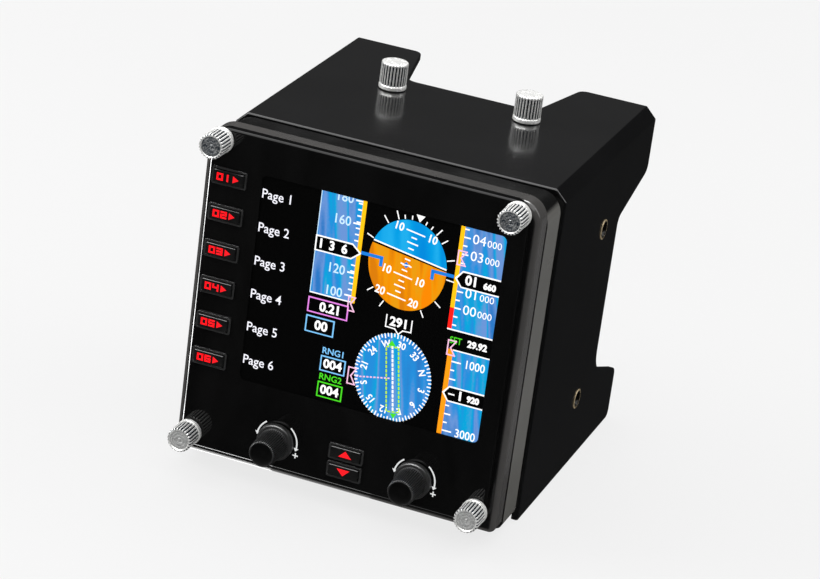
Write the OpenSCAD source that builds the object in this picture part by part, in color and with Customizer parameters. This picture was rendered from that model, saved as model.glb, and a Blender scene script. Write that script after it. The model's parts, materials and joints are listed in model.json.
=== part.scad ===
// Instrument display panel in a standing bracket.
// A square control panel with a colour display, eight keys and two rotary knobs is held in the
// mouth of a folded sheet bracket. +X is to the right of a person facing the display, +Y runs
// from the display to the back and +Z is up. The origin is at the middle of the object's
// footprint, on the surface that the bracket stands on. All sizes are in millimetres.
// Depths are first counted from the front face of the glossy plate and then moved by face_y.

/* [Bracket] */
// Outer width across the two side plates
bracket_w = 96.8; // [94:0.2:100]
// Height of the top plate's upper face above the feet
bracket_h = 98.4; // [96:0.2:102]
// Depth at which the bracket's front lip starts
bracket_front = 23.2; // [22.6:0.2:25]
// Depth of the bracket's rear edges
bracket_back = 107.4; // [100:0.2:115]
// Thickness of the folded sheet
sheet_t = 2; // [1.5:0.1:2.5]
// Width of the sloped fold between the top and a side
fold_w = 3.2; // [2:0.1:5]
// Width of the inward flange that carries the panel
flange_w = 12; // [9:0.5:14]

/* [Bracket cut-outs] */
// Half width of the top cut-out at the rear edge
top_cut_rear = 25; // [20:0.5:30]
// Half width of the top cut-out at its inner edge
top_cut_inner = 19.5; // [14:0.5:22]
// Depth at which the top cut-out ends
top_cut_y = 80.4; // [76:0.2:90]
// Depth of the side cut-out's upright edge
side_cut_y = 82.4; // [76:0.2:90]
// Height where the side cut-out meets the rear edge at the top
side_cut_top = 79.2; // [70:0.2:85]
// Slope of the side cut-out's upper edge in degrees
side_cut_slope = 16; // [8:1:25]
// Height of the lower rear tab at its back, before its corner is rounded
tab_top = 15.8; // [10:0.2:20]
// Slope of the lower rear tab in degrees
tab_slope = 20; // [8:1:28]

/* [Panel] */
// Width of the glossy front plate
plate_w = 90.4; // [86:0.2:92]
// Height of the glossy front plate
plate_h = 94.2; // [90:0.2:95]
// Height of the front plate's lower edge
plate_low = 7.2; // [5:0.2:8]
// Thickness of the front plate
plate_t = 3; // [2.5:0.1:3.2]
// Width of both housing shells
shell_w = 95.6; // [94:0.2:96.4]
// Height of the front shell's lower edge
front_shell_low = 3.9; // [3:0.1:5]
// Height of the front shell's upper edge
front_shell_high = 100.5; // [99:0.1:101]
// Height of the rear shell's upper edge
rear_shell_high = 98.2; // [97:0.1:98.4]
// Depth at which the front shell ends
front_shell_back = 9.8; // [9:0.1:10.5]
// Depth at which the rear shell ends
rear_shell_back = 21.4; // [20:0.1:22]
// Thickness of the shell walls
wall_t = 2.2; // [1.8:0.1:2.5]

/* [Display] */
// Width of the display window
window_w = 70; // [66:0.5:70]
// Height of the display window
window_h = 60.2; // [56:0.2:61]
// Sideways place of the display's middle
window_x = 5.4; // [5:0.1:5.6]
// Height of the display's middle
window_z = 60.8; // [60:0.1:61]

/* [Keys] */
// Sideways place of the selector keys
key_x = -39; // [-39.2:0.1:-38.8]
// Height of the lowest selector key
key_low_z = 34.6; // [34:0.1:35]
// Distance from one selector key to the next
key_pitch = 10.65; // [10.4:0.05:10.8]
// Width of a key's raised frame
key_frame_w = 10.2; // [9.6:0.1:10.4]
// Height of a selector key's frame
key_frame_h = 5; // [4.6:0.1:5.2]
// Sideways place of the two step keys
step_x = 4; // [3.5:0.1:4.5]
// Height of the middle between the two step keys
step_z = 14.7; // [14.5:0.1:15]
// Height of a step key's frame
step_frame_h = 4.7; // [4.4:0.1:4.8]
// Distance between the two step keys
step_pitch = 5.4; // [5.3:0.1:5.6]
// How far a key can be pressed
key_travel = 0.6; // [0.4:0.05:0.65]
// How far a key stands out of the plate
key_proud = 1.1; // [1:0.05:1.3]

/* [Knobs] */
// Distance from the middle between the knobs to each knob
knob_side = 20.4; // [19:0.1:21]
// Sideways place of the middle between the knobs
knob_mid_x = 3.8; // [3.5:0.1:4.2]
// Height of the knob shafts
knob_z = 15.6; // [15.2:0.1:16.2]
// Length from the plate to a knob's face
knob_l = 11; // [10:0.1:12]
// Radius of a knob at its face
knob_r = 3.9; // [3.7:0.1:4.1]
// Radius of a knob at its skirt
knob_skirt_r = 5.3; // [5:0.1:5.5]
// Radius of an encoder shaft
shaft_r = 2; // [1.9:0.05:2.1]

/* [Thumbscrews] */
// Sideways distance of the corner thumbscrews from the middle
corner_x = 42.5; // [42:0.1:43]
// Height of the upper corner thumbscrews
corner_high_z = 98; // [97:0.1:98.2]
// Height of the lower corner thumbscrews
corner_low_z = 11.2; // [10.8:0.1:12]
// Length of a corner thumbscrew's grip
corner_grip_l = 7.5; // [6:0.1:9]
// Radius of a corner thumbscrew's grip
corner_grip_r = 3.6; // [3.3:0.1:3.8]
// Radius of a corner thumbscrew's shank
corner_shank_r = 1.25; // [1.2:0.05:1.3]
// Sideways distance of the top thumbscrews from the middle
top_screw_x = 20.4; // [18:0.1:24]
// Depth of the top thumbscrews
top_screw_y = 70.5; // [66:0.1:74]
// Height of a top thumbscrew's grip
top_grip_l = 8; // [7:0.1:9]
// Radius of a top thumbscrew's grip
top_grip_r = 3.9; // [3.6:0.1:4.2]
// Radius of a top thumbscrew's shank
top_shank_r = 1.95; // [1.8:0.05:2]

/* [Side inserts] */
// Depth of the threaded inserts in the side plates
insert_y = 67.2; // [60:0.1:72]
// Height of the lower insert
insert_low_z = 20.9; // [18:0.1:24]
// Height of the upper insert
insert_high_z = 73.5; // [70:0.1:76]
// Radius of the insert's rim
insert_rim_r = 2.95; // [2.8:0.05:3.2]
// Radius of the insert's threaded hole
insert_hole_r = 1.7; // [1.6:0.05:1.75]

/* [Rear cover] */
// Width of the electronics cover
cover_w = 66; // [60:1:68]
// Height of the cover's lower edge
cover_low = 24; // [22:0.5:26]
// Height of the cover's upper edge
cover_high = 84; // [80:0.5:86]
// Depth at which the cover ends
cover_back = 35; // [33:0.5:40]

/* [Hidden] */
$fn = 64;
face_y = -(bracket_back - knob_l) / 2;
tiny = 0.05;
seat_gap = 0.2;
shell_r = 6;
shell_foot_r = 2;
plate_r = 4.5;
seal_t = 0.3;
seal_inset = 0.7;
rear_shell_front = front_shell_back + seal_t;
front_wall_back = plate_t + 1.6;
rear_shell_low = front_shell_low - 1.3;
lens_set = 0.35;
lens_t = 2.6;
window_r = 1.6;
frame_proud = 0.5;
frame_wall = 0.55;
key_gap = 0.15;
key_flange_t = 0.6;
key_stem_end = 5.3;
switch_front = key_stem_end + key_travel + 0.1;
key_board_front = 8;
board_t = 1.2;
encoder_front = front_wall_back;
encoder_back = 9.6;
bush_r = 3;
nut_r = 4.2;
lcd_front = 4.7;
lcd_back = 8.8;
flange_screw_x = bracket_w / 2 - sheet_t - 6;
flange_screw_z = [30, 70];
screw_r = 1.35;
screw_bore_r = screw_r + tiny;
boss_r = 3.6;
shell_boss_r = 2.4;
shell_screw_seat = 18.6;
shell_screw_l = 13;
shell_screw_places = [[-38.5, 20], [38.5, 20], [-30, 95.2], [30, 95.2]];
shell_head_r = 2;
main_board_y = 26;
main_board_t = 1.6;
cover_t = 1.6;
foot_drop = 3.2;
usb_x = 18;
usb_z = 34;
usb_w = 7.8;
usb_h = 4;
key_zs = [for (i = [0:5]) key_low_z + key_pitch * (5 - i)];
knob_xs = [knob_mid_x - knob_side, knob_mid_x + knob_side];
step_zs = [step_z + step_pitch / 2, step_z - step_pitch / 2];
cover_screw_x = cover_w / 2 - 6;
cover_screw_z = [cover_low - foot_drop, cover_high + foot_drop];
main_board_screw_z = [cover_low + 6, cover_high - 6];

// ---- shared shapes -------------------------------------------------------------------------

// Puts depths counted from the plate's face into the object's own frame.
module at_face() {
    translate([0, face_y, 0]) children();
}

// Extrudes an outline drawn in X and Z from one depth to another.
module slab(y0, y1) {
    translate([0, y1, 0]) rotate([90, 0, 0]) linear_extrude(y1 - y0) children();
}

// A round rod along Y.
module rod(x, z, r, y0, y1) {
    translate([x, y1, z]) rotate([90, 0, 0]) cylinder(r = r, h = y1 - y0);
}

// A rectangle with round corners, centred.
module rounded(w, h, r) {
    square([w - 2 * r, h], center = true);
    square([w, h - 2 * r], center = true);
    for (sx = [-1, 1], sz = [-1, 1])
        translate([sx * (w / 2 - r), sz * (h / 2 - r)]) circle(r);
}

// Outline of a shell between two heights, drawn in X and Z: its lower corners are the tighter ones.
module shell_outline(low, high, inset) {
    half = shell_w / 2 - inset;
    foot = low + inset;
    top = high - inset;
    r = shell_r - inset;
    foot_r = max(shell_foot_r - inset, 0.4);
    translate([-half, foot + foot_r]) square([2 * half, top - foot - r - foot_r]);
    translate([foot_r - half, foot]) square([2 * (half - foot_r), top - foot - r]);
    translate([r - half, top - 2 * r]) square([2 * (half - r), 2 * r]);
    for (s = [-1, 1]) {
        translate([s * (half - r), top - r]) circle(r);
        translate([s * (half - foot_r), foot + foot_r]) circle(foot_r);
    }
}

// A block given by its lowest and highest corners.
module block(low, high) {
    translate(low) cube(high - low);
}

// Points along an arc, for corners of sheet outlines.
function arc(cx, cy, r, a0, a1, n = 6) =
    [for (i = [0:n]) [cx + r * cos(a0 + (a1 - a0) * i / n), cy + r * sin(a0 + (a1 - a0) * i / n)]];

// A toothed disc outline for knurled grips.
function teeth(r, depth, n) =
    [for (i = [0:n - 1], k = [0:3])
        let (a = 360 * (i + [-0.32, -0.2, 0.2, 0.32][k]) / n, q = k == 1 || k == 2 ? r : r - depth)
        [q * cos(a), q * sin(a)]];

// ---- bracket -------------------------------------------------------------------------------

// The folded section: an upside-down U with a sloped fold at each upper corner.
module bracket_section() {
    w = bracket_w / 2;
    h = bracket_h;
    inner_fold = fold_w - sheet_t * tan(22.5);
    difference() {
        polygon([[-w, 0], [w, 0], [w, h - fold_w], [w - fold_w, h], [fold_w - w, h], [-w, h - fold_w]]);
        polygon([[sheet_t - w, -1], [w - sheet_t, -1], [w - sheet_t, h - sheet_t - inner_fold],
            [w - sheet_t - inner_fold, h - sheet_t], [inner_fold + sheet_t - w, h - sheet_t],
            [sheet_t - w, h - sheet_t - inner_fold]]);
    }
}

// Outline in X and Y of the cut-out at the rear of the top plate: a trapezium with round corners.
module top_cut() {
    r = 3.5;
    lean = atan((top_cut_rear - top_cut_inner) / (bracket_back - top_cut_y));
    bend_x = top_cut_inner - r * tan(45 - lean / 2);
    polygon(concat(
        [[top_cut_rear, bracket_back + 1], [top_cut_rear, bracket_back]],
        arc(bend_x, top_cut_y + r, r, -lean, -90),
        arc(-bend_x, top_cut_y + r, r, -90, lean - 180),
        [[-top_cut_rear, bracket_back], [-top_cut_rear, bracket_back + 1]]));
}

// Outline in Y and Z of the cut-out at the rear of each side plate. Its upper edge and the tab
// below it slope down to the back, and its inner corners are round.
module side_cut() {
    upper_r = 3;
    lower_r = 8;
    tab_r = 3;
    upper_z = side_cut_top - (bracket_back - side_cut_y - upper_r) * tan(side_cut_slope);
    lower_z = tab_top + (bracket_back - side_cut_y - lower_r) * tan(tab_slope);
    tab_z = tab_top + tab_r * tan(tab_slope) - tab_r / cos(tab_slope);
    polygon(concat(
        [[bracket_back + 1, side_cut_top], [bracket_back, side_cut_top]],
        arc(side_cut_y + upper_r, upper_z - upper_r / cos(side_cut_slope), upper_r,
            90 + side_cut_slope, 180),
        arc(side_cut_y + lower_r, lower_z + lower_r / cos(tab_slope), lower_r,
            180, 270 - tab_slope),
        arc(bracket_back - tab_r, tab_z, tab_r, 90 - tab_slope, 0),
        [[bracket_back + 1, tab_z]]));
}

module mount_bracket() {
    color("#161616") at_face() difference() {
        union() {
            slab(bracket_front, bracket_back) bracket_section();
            for (s = [-1, 1])
                slab(bracket_front, bracket_front + sheet_t)
                    translate([s * (bracket_w / 2 - sheet_t / 2 - flange_w / 2), 50])
                        square([flange_w, 84], center = true);
        }
        translate([0, 0, bracket_h - 8]) linear_extrude(16) top_cut();
        rotate([90, 0, 90]) translate([0, 0, -bracket_w]) linear_extrude(2 * bracket_w) side_cut();
        for (s = [-1, 1], z = flange_screw_z)
            rod(s * flange_screw_x, z, 1.7, bracket_front - 1, bracket_front + sheet_t + 1);
        for (s = [-1, 1])
            translate([s * top_screw_x, top_screw_y, bracket_h - 8]) cylinder(r = 2.2, h = 16);
        for (z = [insert_low_z, insert_high_z])
            translate([-bracket_w, insert_y, z]) rotate([0, 90, 0])
                cylinder(r = insert_rim_r - 0.45, h = 2 * bracket_w);
    }
}

// ---- front plate, display and shells -------------------------------------------------------

module key_openings(grow) {
    for (z = key_zs)
        translate([key_x, z]) square([key_frame_w + grow, key_frame_h + grow], center = true);
    for (z = step_zs)
        translate([step_x, z]) square([key_frame_w + grow, step_frame_h + grow], center = true);
}

module face_plate() {
    color("#0b0b0c") at_face() difference() {
        slab(0, plate_t) translate([0, plate_low + plate_h / 2]) rounded(plate_w, plate_h, plate_r);
        slab(-1, plate_t + 1) translate([window_x, window_z]) rounded(window_w, window_h, window_r);
        slab(-1, plate_t + 1) key_openings(tiny * 2 - frame_wall);
        for (x = knob_xs)
            rod(x, knob_z, nut_r + 0.1, -1, plate_t + 1);
        for (s = [-1, 1], z = [corner_low_z, corner_high_z])
            rod(s * corner_x, z, corner_shank_r + 0.25, -1, plate_t + 1);
    }
}

module display_lens() {
    color("#101418") at_face() slab(lens_set, lens_set + lens_t)
        translate([window_x, window_z]) rounded(window_w - 0.1, window_h - 0.1, window_r);
}

module front_shell() {
    color("#6b6763") at_face() difference() {
        slab(plate_t, front_shell_back) shell_outline(front_shell_low, front_shell_high, 0);
        difference() {
            slab(front_wall_back, front_shell_back + 1)
                shell_outline(front_shell_low, front_shell_high, wall_t);
            for (s = [-1, 1], z = [corner_low_z, corner_high_z])
                slab(plate_t, front_shell_back + 2) translate([s * corner_x, z])
                    square(8.4, center = true);
            for (p = shell_screw_places)
                rod(p[0], p[1], shell_boss_r, plate_t, front_shell_back + 2);
        }
        slab(plate_t - 1, front_wall_back + 1)
            translate([window_x, window_z]) square([window_w + 6, window_h + 4], center = true);
        slab(plate_t - 1, front_wall_back + 1) key_openings(1);
        for (x = knob_xs) rod(x, knob_z, bush_r + 0.2, plate_t - 1, front_wall_back + 1);
        for (s = [-1, 1], z = [corner_low_z, corner_high_z])
            rod(s * corner_x, z, 1.9 + tiny, plate_t - 1, front_shell_back - 0.6);
        for (p = shell_screw_places)
            rod(p[0], p[1], screw_bore_r, shell_screw_seat - shell_screw_l - 0.2, front_shell_back + 1);
    }
}

// Dark elastic seal between the two shells; it lies a little inside their outline.
module shell_seal() {
    color("#050505") at_face() slab(front_shell_back, rear_shell_front) difference() {
        shell_outline(front_shell_low, rear_shell_high, seal_inset);
        shell_outline(front_shell_low, rear_shell_high, wall_t);
        for (p = shell_screw_places)
            translate(p) circle(screw_bore_r + 0.2);
    }
}

module rear_shell() {
    color("#77726d") at_face() difference() {
        union() {
            difference() {
                slab(rear_shell_front, rear_shell_back)
                    shell_outline(rear_shell_low, rear_shell_high, 0);
                slab(rear_shell_front - 1, rear_shell_back - 2)
                    shell_outline(front_shell_low, rear_shell_high, wall_t);
            }
            for (s = [-1, 1], z = flange_screw_z)
                rod(s * flange_screw_x, z, boss_r, rear_shell_front + 1, bracket_front);
            for (p = shell_screw_places)
                rod(p[0], p[1], shell_boss_r + 0.4, rear_shell_front, rear_shell_back - 1);
        }
        for (s = [-1, 1], z = flange_screw_z)
            rod(s * flange_screw_x, z, screw_bore_r, 13, bracket_front + 1);
        for (p = shell_screw_places) {
            rod(p[0], p[1], screw_bore_r + 0.2, rear_shell_front - 1, rear_shell_back + 1);
            rod(p[0], p[1], shell_head_r + 0.15, shell_screw_seat, rear_shell_back + 1);
        }
        for (s = [-1, 1], z = cover_screw_z)
            rod(s * cover_screw_x, z, screw_bore_r, rear_shell_back - 3, rear_shell_back + 1);
        slab(rear_shell_back - 3, rear_shell_back + 1)
            translate([0, cover_low + 9]) square([cover_w - 16, 8], center = true);
    }
}

// Cover over the main board, with a foot at each corner.
module rear_cover() {
    h = cover_high - cover_low;
    color("#1c1c1d") at_face() difference() {
        union() {
            slab(rear_shell_back, cover_back)
                translate([0, cover_low + h / 2]) rounded(cover_w, h, 3);
            slab(rear_shell_back, rear_shell_back + 2) for (s = [-1, 1], z = cover_screw_z)
                translate([s * cover_screw_x, z]) rounded(9, 8, 2.5);
        }
        slab(rear_shell_back - 1, cover_back - cover_t)
            translate([0, cover_low + h / 2]) rounded(cover_w - 2 * cover_t, h - 2 * cover_t, 1.4);
        for (s = [-1, 1], z = cover_screw_z)
            rod(s * cover_screw_x, z, screw_bore_r + 0.2, rear_shell_back - 1, rear_shell_back + 3);
        slab(cover_back - 3, cover_back + 1)
            translate([usb_x, usb_z]) square([usb_w + 0.4, usb_h + 0.4], center = true);
        for (i = [-4:4])
            slab(cover_back - 3, cover_back + 1) translate([i * 5, 66]) rounded(2, 20, 0.9);
    }
}

module lcd_frame() {
    color("#8d9093") at_face() slab(lcd_front, lcd_back + 0.6) difference() {
        translate([window_x, window_z]) square([window_w + 4.4, window_h + 3.4], center = true);
        translate([window_x, window_z]) square([window_w + 3.2, window_h + 2.2], center = true);
    }
}

module lcd_panel() {
    color("#18202c") at_face() slab(lcd_front, lcd_front + 1.6)
        translate([window_x, window_z]) square([window_w + 3, window_h + 2], center = true);
}

module backlight_unit() {
    color("#e8e6e0") at_face() slab(lcd_front + 1.6, lcd_back)
        translate([window_x, window_z]) square([window_w + 3, window_h + 2], center = true);
}

// ---- keys ----------------------------------------------------------------------------------

// A raised frame that guides one key through the plate.
module key_frame(x, z, h) {
    difference() {
        union() {
            slab(-frame_proud, 0) translate([x, z]) rounded(key_frame_w, h, 0.6);
            slab(-tiny, plate_t) translate([x, z])
                square([key_frame_w - frame_wall, h - frame_wall], center = true);
        }
        slab(-2, plate_t + 1) translate([x, z])
            square([key_frame_w - 2 * frame_wall, h - 2 * frame_wall], center = true);
    }
}

module selector_key_frames() {
    color("#141414") at_face() for (z = key_zs) key_frame(key_x, z, key_frame_h);
}

module step_key_frames() {
    color("#141414") at_face() for (z = step_zs) key_frame(step_x, z, step_frame_h);
}

// A key: a cap that shows, a flange that keeps it in, and a stem over its switch.
module key(x, z, h) {
    w = key_frame_w - 2 * frame_wall - 2 * key_gap;
    cap_h = h - 2 * frame_wall - 2 * key_gap;
    color("#101010") at_face() {
        slab(-key_proud, plate_t + 0.2) translate([x, z]) square([w, cap_h], center = true);
        slab(plate_t + 0.2, plate_t + 0.2 + key_flange_t)
            translate([x, z]) square([key_frame_w, h], center = true);
        rod(x, z, 1.2, plate_t + key_flange_t, key_stem_end);
    }
}

module selector_key(i) {
    key(key_x, key_zs[i], key_frame_h);
}

module step_key(i) {
    key(step_x, step_zs[i], step_frame_h);
}

// ---- switches and boards -------------------------------------------------------------------

// A push switch with its plunger towards the key.
module push_switch(x, z) {
    rod(x, z, 0.9, switch_front, key_board_front);
    slab(switch_front + 0.7, key_board_front) translate([x, z]) square([4.4, 3.6], center = true);
}

module selector_switches() {
    color("#b9bcc0") at_face() for (z = key_zs) push_switch(key_x, z);
}

module step_switches() {
    color("#b9bcc0") at_face() for (z = step_zs) push_switch(step_x, z);
}

module selector_board() {
    color("#1f5c34") at_face() slab(key_board_front, key_board_front + board_t)
        translate([key_x - 0.4, (key_zs[0] + key_zs[5]) / 2]) square([11, 60], center = true);
}

module control_board() {
    color("#1f5c34") at_face() difference() {
        slab(encoder_back, encoder_back + board_t) translate([knob_mid_x, knob_z - 0.4])
            square([62, 14], center = true);
        for (x = knob_xs) rod(x, knob_z, 2.4, encoder_back - 1, encoder_back + board_t + 1);
    }
    color("#1f5c34") at_face() slab(key_board_front, encoder_back)
        translate([step_x, step_z]) square([11, 10.4], center = true);
}

module main_board() {
    color("#1a4f2e") at_face() difference() {
        slab(main_board_y, main_board_y + main_board_t)
            translate([0, (cover_low + cover_high) / 2])
                square([cover_w - 6, cover_high - cover_low - 6], center = true);
        for (s = [-1, 1], z = main_board_screw_z)
            rod(s * cover_screw_x, z, screw_bore_r + 0.2, main_board_y - 1, main_board_y + 3);
    }
}

// Chips, a can capacitor and a row of small parts on the front of the main board.
module main_board_chips() {
    color("#222222") at_face() {
        slab(main_board_y - 1.6, main_board_y) translate([-8, 56]) square([14, 14], center = true);
        slab(main_board_y - 1.2, main_board_y) translate([12, 58]) square([8, 11], center = true);
        rod(-20, 40, 3, main_board_y - 3.6, main_board_y);
        for (i = [0:5])
            slab(main_board_y - 0.8, main_board_y)
                translate([2 + 3.2 * i, 44]) square([1.6, 2.6], center = true);
    }
}

module usb_socket() {
    color("#c9cbcd") at_face() slab(main_board_y + main_board_t, cover_back) difference() {
        translate([usb_x, usb_z]) square([usb_w, usb_h], center = true);
        translate([usb_x, usb_z]) square([usb_w - 1, usb_h - 1], center = true);
    }
    color("#1a1a1a") at_face() slab(main_board_y + main_board_t, cover_back - 1.4)
        translate([usb_x, usb_z]) square([4.6, 1], center = true);
}

// Two flat cables from the back of the display to the main board.
module flat_cables() {
    cable_t = 0.3;
    cable_w = 10;
    low_z = 31;
    run_z = 33;
    end_z = 36.5;
    color("#d9d4c4") at_face() for (x = [-12, 12])
        rotate([90, 0, 90]) translate([0, 0, x - cable_w / 2]) linear_extrude(cable_w)
            polygon([[lcd_back, low_z], [lcd_back + cable_t, low_z], [lcd_back + cable_t, run_z],
                [main_board_y, run_z], [main_board_y, end_z], [main_board_y - cable_t, end_z],
                [main_board_y - cable_t, run_z + cable_t], [lcd_back, run_z + cable_t]]);
}

// ---- knobs ---------------------------------------------------------------------------------

module knob(x) {
    ribs = 48;
    rib_growth = 0.25;
    skirt_l = 2;
    color("#131313") at_face() difference() {
        union() {
            rod(x, knob_z, knob_skirt_r, -0.4 - skirt_l, -0.4);
            translate([x, 0, knob_z]) slab(0.6 - knob_l, -0.4 - skirt_l)
                polygon(teeth(knob_r + rib_growth, 0.2, ribs));
            rod(x, knob_z, knob_r - 0.1, -knob_l, 0.7 - knob_l);
        }
        rod(x, knob_z, shaft_r + tiny, 2 - knob_l, 1);
    }
}

module encoder_shaft(x) {
    color("#c4c6c8") at_face() rod(x, knob_z, shaft_r, 2.2 - knob_l, encoder_back - 1);
}

module encoder_body(x) {
    color("#7f8387") at_face() difference() {
        union() {
            slab(encoder_front, encoder_back) translate([x, knob_z])
                square([11, 11], center = true);
            rod(x, knob_z, bush_r, 0.4, encoder_front);
        }
        rod(x, knob_z, shaft_r + tiny, 0, encoder_back - 0.8);
    }
}

// Hexagon nuts that hold each encoder's bush to the front shell, sunk in the plate.
module encoder_nuts() {
    color("#9c9fa2") at_face() for (x = knob_xs) difference() {
        slab(1, plate_t) translate([x, knob_z]) circle(nut_r, $fn = 6);
        rod(x, knob_z, bush_r + tiny, 0, plate_t + 1);
    }
}

// ---- thumbscrews ---------------------------------------------------------------------------

// A knurled corner thumbscrew with a plain collar at its foot and a dished face.
module corner_screw(sx, z) {
    collar_l = 1.3;
    color("#c9cbcc") at_face() {
        translate([sx * corner_x, 0, z]) difference() {
            slab(-corner_grip_l, -seat_gap - collar_l) polygon(teeth(corner_grip_r, 0.3, 24));
            rod(0, 0, corner_grip_r - 0.7, -corner_grip_l - 1, 0.4 - corner_grip_l);
        }
        rod(sx * corner_x, z, corner_grip_r + 0.1, -seat_gap - collar_l, -seat_gap);
        rod(sx * corner_x, z, corner_shank_r, -seat_gap - 0.2, 8.4);
    }
}

module corner_inserts() {
    color("#b08d4a") at_face() for (s = [-1, 1], z = [corner_low_z, corner_high_z]) difference() {
        rod(s * corner_x, z, 1.9, plate_t + 0.1, front_shell_back - 0.7);
        rod(s * corner_x, z, corner_shank_r + tiny, plate_t - 1, front_shell_back);
    }
}

// A knurled thumbscrew on the top plate.
module top_screw(sx) {
    collar_l = 1.2;
    seat = bracket_h + seat_gap;
    color("#d4d5d6") at_face() translate([sx * top_screw_x, top_screw_y, 0]) {
        translate([0, 0, seat]) cylinder(r = top_grip_r + 0.1, h = collar_l);
        translate([0, 0, seat + collar_l]) linear_extrude(top_grip_l - collar_l - 0.5 - seat_gap)
            polygon(teeth(top_grip_r, 0.28, 26));
        translate([0, 0, bracket_h + top_grip_l - 0.5]) cylinder(r = top_grip_r - 0.25, h = 0.5);
        translate([0, 0, bracket_h - 6.4]) cylinder(r = top_shank_r, h = 6.6);
    }
}

module top_nuts() {
    color("#a9acae") at_face() for (s = [-1, 1])
        translate([s * top_screw_x, top_screw_y, bracket_h - sheet_t - 3.2]) difference() {
            cylinder(r = 4, h = 3.2, $fn = 6);
            translate([0, 0, -1]) cylinder(r = top_shank_r + tiny, h = 6);
        }
}

// ---- threaded inserts and screws -----------------------------------------------------------

module side_insert(s, z) {
    outer = bracket_w / 2;
    at_face() translate([s * outer, insert_y, z]) rotate([0, s * 90, 0]) difference() {
        union() {
            cylinder(r = insert_rim_r, h = 0.25);
            translate([0, 0, -4]) cylinder(r = insert_rim_r - 0.5, h = 4.1);
        }
        translate([0, 0, -5]) cylinder(r = insert_hole_r, h = 6);
    }
}

module side_inserts(s) {
    color("#b0904e") for (z = [insert_low_z, insert_high_z]) side_insert(s, z);
}

// Self-tapping screw along Y with its head at the back.
module back_screw(x, z, y_head, l, head_r = 2.6) {
    rod(x, z, screw_r, y_head - l, y_head + 0.1);
    difference() {
        rod(x, z, head_r, y_head, y_head + 1.8);
        slab(y_head + 0.9, y_head + 3) translate([x, z]) {
            square([0.6, 2.6], center = true);
            square([2.6, 0.6], center = true);
        }
    }
}

module shell_screws() {
    color("#9b9ea1") at_face() for (p = shell_screw_places)
        back_screw(p[0], p[1], shell_screw_seat, shell_screw_l, shell_head_r);
}

module bracket_screws() {
    color("#26262a") at_face() for (s = [-1, 1], z = flange_screw_z)
        back_screw(s * flange_screw_x, z, bracket_front + sheet_t, 11);
}

module board_screws() {
    color("#9b9ea1") at_face() for (s = [-1, 1], z = main_board_screw_z)
        back_screw(s * cover_screw_x, z, main_board_y + main_board_t, 5);
}

module cover_screws() {
    color("#26262a") at_face() for (s = [-1, 1], z = cover_screw_z)
        back_screw(s * cover_screw_x, z, rear_shell_back + 2, 4.8, 2.3);
}

// ---- nodes ---------------------------------------------------------------------------------

mount_bracket();
face_plate();
display_lens();
front_shell();
shell_seal();
rear_shell();
rear_cover();
lcd_frame();
lcd_panel();
backlight_unit();
selector_key_frames();
step_key_frames();
selector_key(0);  // selector_key_1
selector_key(1);  // selector_key_2
selector_key(2);  // selector_key_3
selector_key(3);  // selector_key_4
selector_key(4);  // selector_key_5
selector_key(5);  // selector_key_6
step_key(0);  // step_key_up
step_key(1);  // step_key_down
knob(knob_xs[0]);  // knob_left
knob(knob_xs[1]);  // knob_right
encoder_shaft(knob_xs[0]);  // encoder_shaft_left
encoder_shaft(knob_xs[1]);  // encoder_shaft_right
encoder_body(knob_xs[0]);  // encoder_body_left
encoder_body(knob_xs[1]);  // encoder_body_right
encoder_nuts();
selector_switches();
step_switches();
selector_board();
control_board();
main_board();
main_board_chips();
usb_socket();
flat_cables();
corner_screw(-1, corner_high_z);  // corner_screw_top_left
corner_screw(1, corner_high_z);  // corner_screw_top_right
corner_screw(-1, corner_low_z);  // corner_screw_low_left
corner_screw(1, corner_low_z);  // corner_screw_low_right
corner_inserts();
top_screw(-1);  // top_screw_left
top_screw(1);  // top_screw_right
top_nuts();
side_inserts(-1);  // side_inserts_left
side_inserts(1);  // side_inserts_right
shell_screws();
bracket_screws();
board_screws();
cover_screws();
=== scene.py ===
"""Looks of a flight instrument display panel that stands in a folded sheet bracket.

The frame's nodes give every place and size. Lengths below are in millimetres in the frame's axes:
X to the right, depth from the front plate's face to the back, and Z up. MM turns them into metres.
"""
import json
import math
import bmesh
import bpy
from mathutils import Matrix, Vector

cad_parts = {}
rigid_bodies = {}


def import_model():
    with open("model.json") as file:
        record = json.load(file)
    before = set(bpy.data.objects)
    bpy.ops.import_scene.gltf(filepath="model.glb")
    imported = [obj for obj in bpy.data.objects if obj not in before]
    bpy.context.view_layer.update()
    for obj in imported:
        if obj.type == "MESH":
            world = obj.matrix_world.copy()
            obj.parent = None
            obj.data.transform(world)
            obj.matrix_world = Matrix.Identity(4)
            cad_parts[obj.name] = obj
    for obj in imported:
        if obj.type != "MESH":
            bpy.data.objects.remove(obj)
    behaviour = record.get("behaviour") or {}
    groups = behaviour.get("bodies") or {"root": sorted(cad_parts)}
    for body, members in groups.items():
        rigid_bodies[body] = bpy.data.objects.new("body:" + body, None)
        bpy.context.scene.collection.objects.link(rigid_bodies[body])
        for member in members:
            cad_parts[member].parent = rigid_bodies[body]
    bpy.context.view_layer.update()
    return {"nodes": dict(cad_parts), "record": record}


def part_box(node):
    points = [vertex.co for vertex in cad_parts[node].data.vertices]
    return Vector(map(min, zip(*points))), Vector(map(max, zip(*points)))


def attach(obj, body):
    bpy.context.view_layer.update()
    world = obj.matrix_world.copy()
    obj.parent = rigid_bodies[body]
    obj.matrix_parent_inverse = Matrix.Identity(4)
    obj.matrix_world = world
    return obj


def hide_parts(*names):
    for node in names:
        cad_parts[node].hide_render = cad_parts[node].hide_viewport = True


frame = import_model()
MM = 0.001
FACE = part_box("face_plate")[0].y / MM
BODY_OF = {n: b for b, nodes in frame["record"]["behaviour"]["bodies"].items() for n in nodes}


# ---- places taken from the frame ----

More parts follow.
